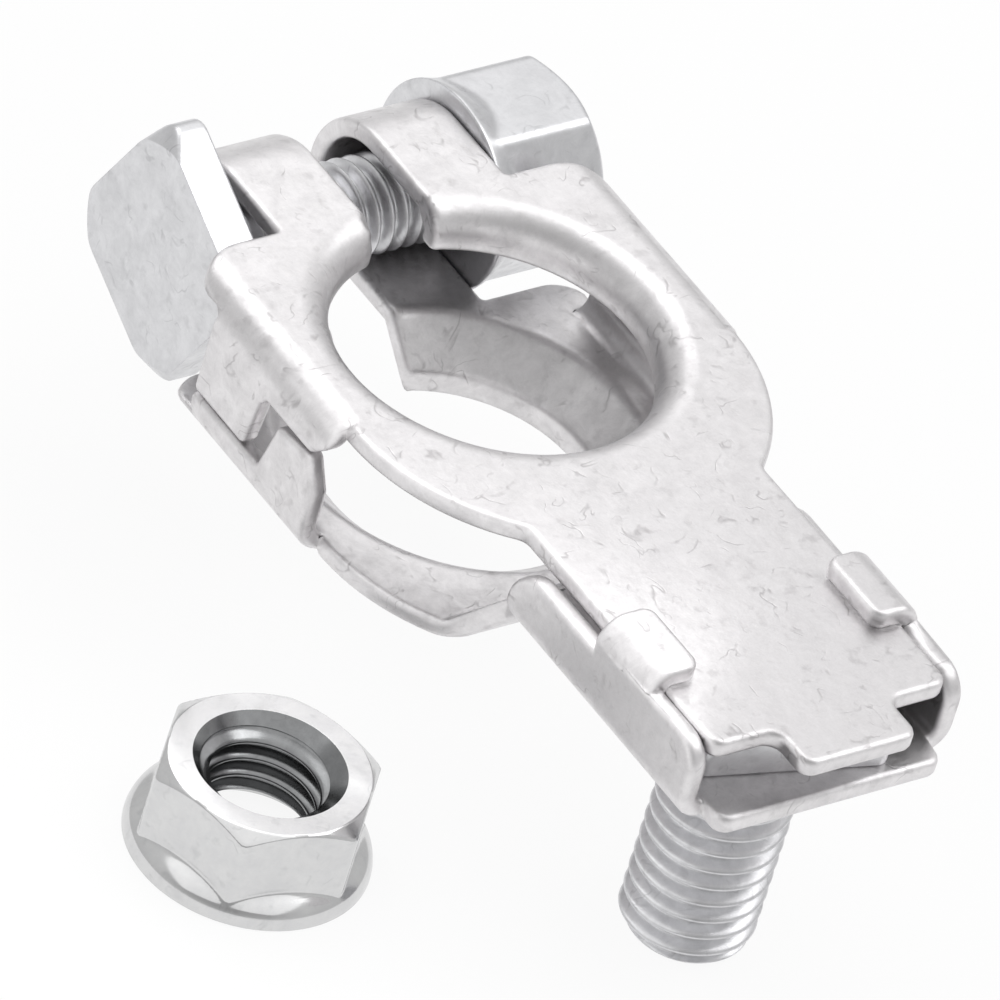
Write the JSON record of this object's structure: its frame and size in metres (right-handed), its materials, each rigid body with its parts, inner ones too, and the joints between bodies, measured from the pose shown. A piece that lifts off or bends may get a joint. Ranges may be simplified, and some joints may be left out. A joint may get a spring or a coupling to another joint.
{
  "type": "battery terminal clamp",
  "caption": "Plated sheet-steel battery post clamp with a side clamp bolt and flange nut, and a stud trapped in its folded tail for the cable.",
  "frame": {"origin": "on the battery post's axis, at the middle of the straight wall of the hole's upper lip", "axes": "+Z along the battery post towards its wide base, the side the picture shows; +X from the clamp bolt's head to its nut; +Y from the tail to the clamp bolt"},
  "size_m": [0.0448, 0.0611, 0.0236],
  "materials": {
    "plated_sheet_steel": "satin tin plate with fine scuffs from stamping",
    "plated_bolt_steel": "satin zinc plate",
    "bright_nut_steel": "bright zinc plate"
  },
  "bodies": {
    "clamp": {"clamp_body": "plated_sheet_steel", "terminal_stud": "plated_bolt_steel", "stud_nut": "bright_nut_steel"},
    "bolt": {"clamp_bolt": "plated_bolt_steel"},
    "nut": {"clamp_nut": "plated_bolt_steel"}
  },
  "joints": [
    {"name": "nut_turn", "type": "hinge", "parent": "clamp", "child": "nut", "pos_m": [0.00805, 0.0165, -0.00285], "axis": [1, 0, 0], "range_deg": [-200, 1440]},
    {"name": "bolt_slide", "type": "slide", "parent": "clamp", "child": "bolt", "axis": [-1, 0, 0], "range_m": [-0.0006, 0.0041]}
  ],
  "couplings": [
    {"joint": "bolt_slide", "follows": "nut_turn", "m_per_rad": 0.00015915}
  ]
}
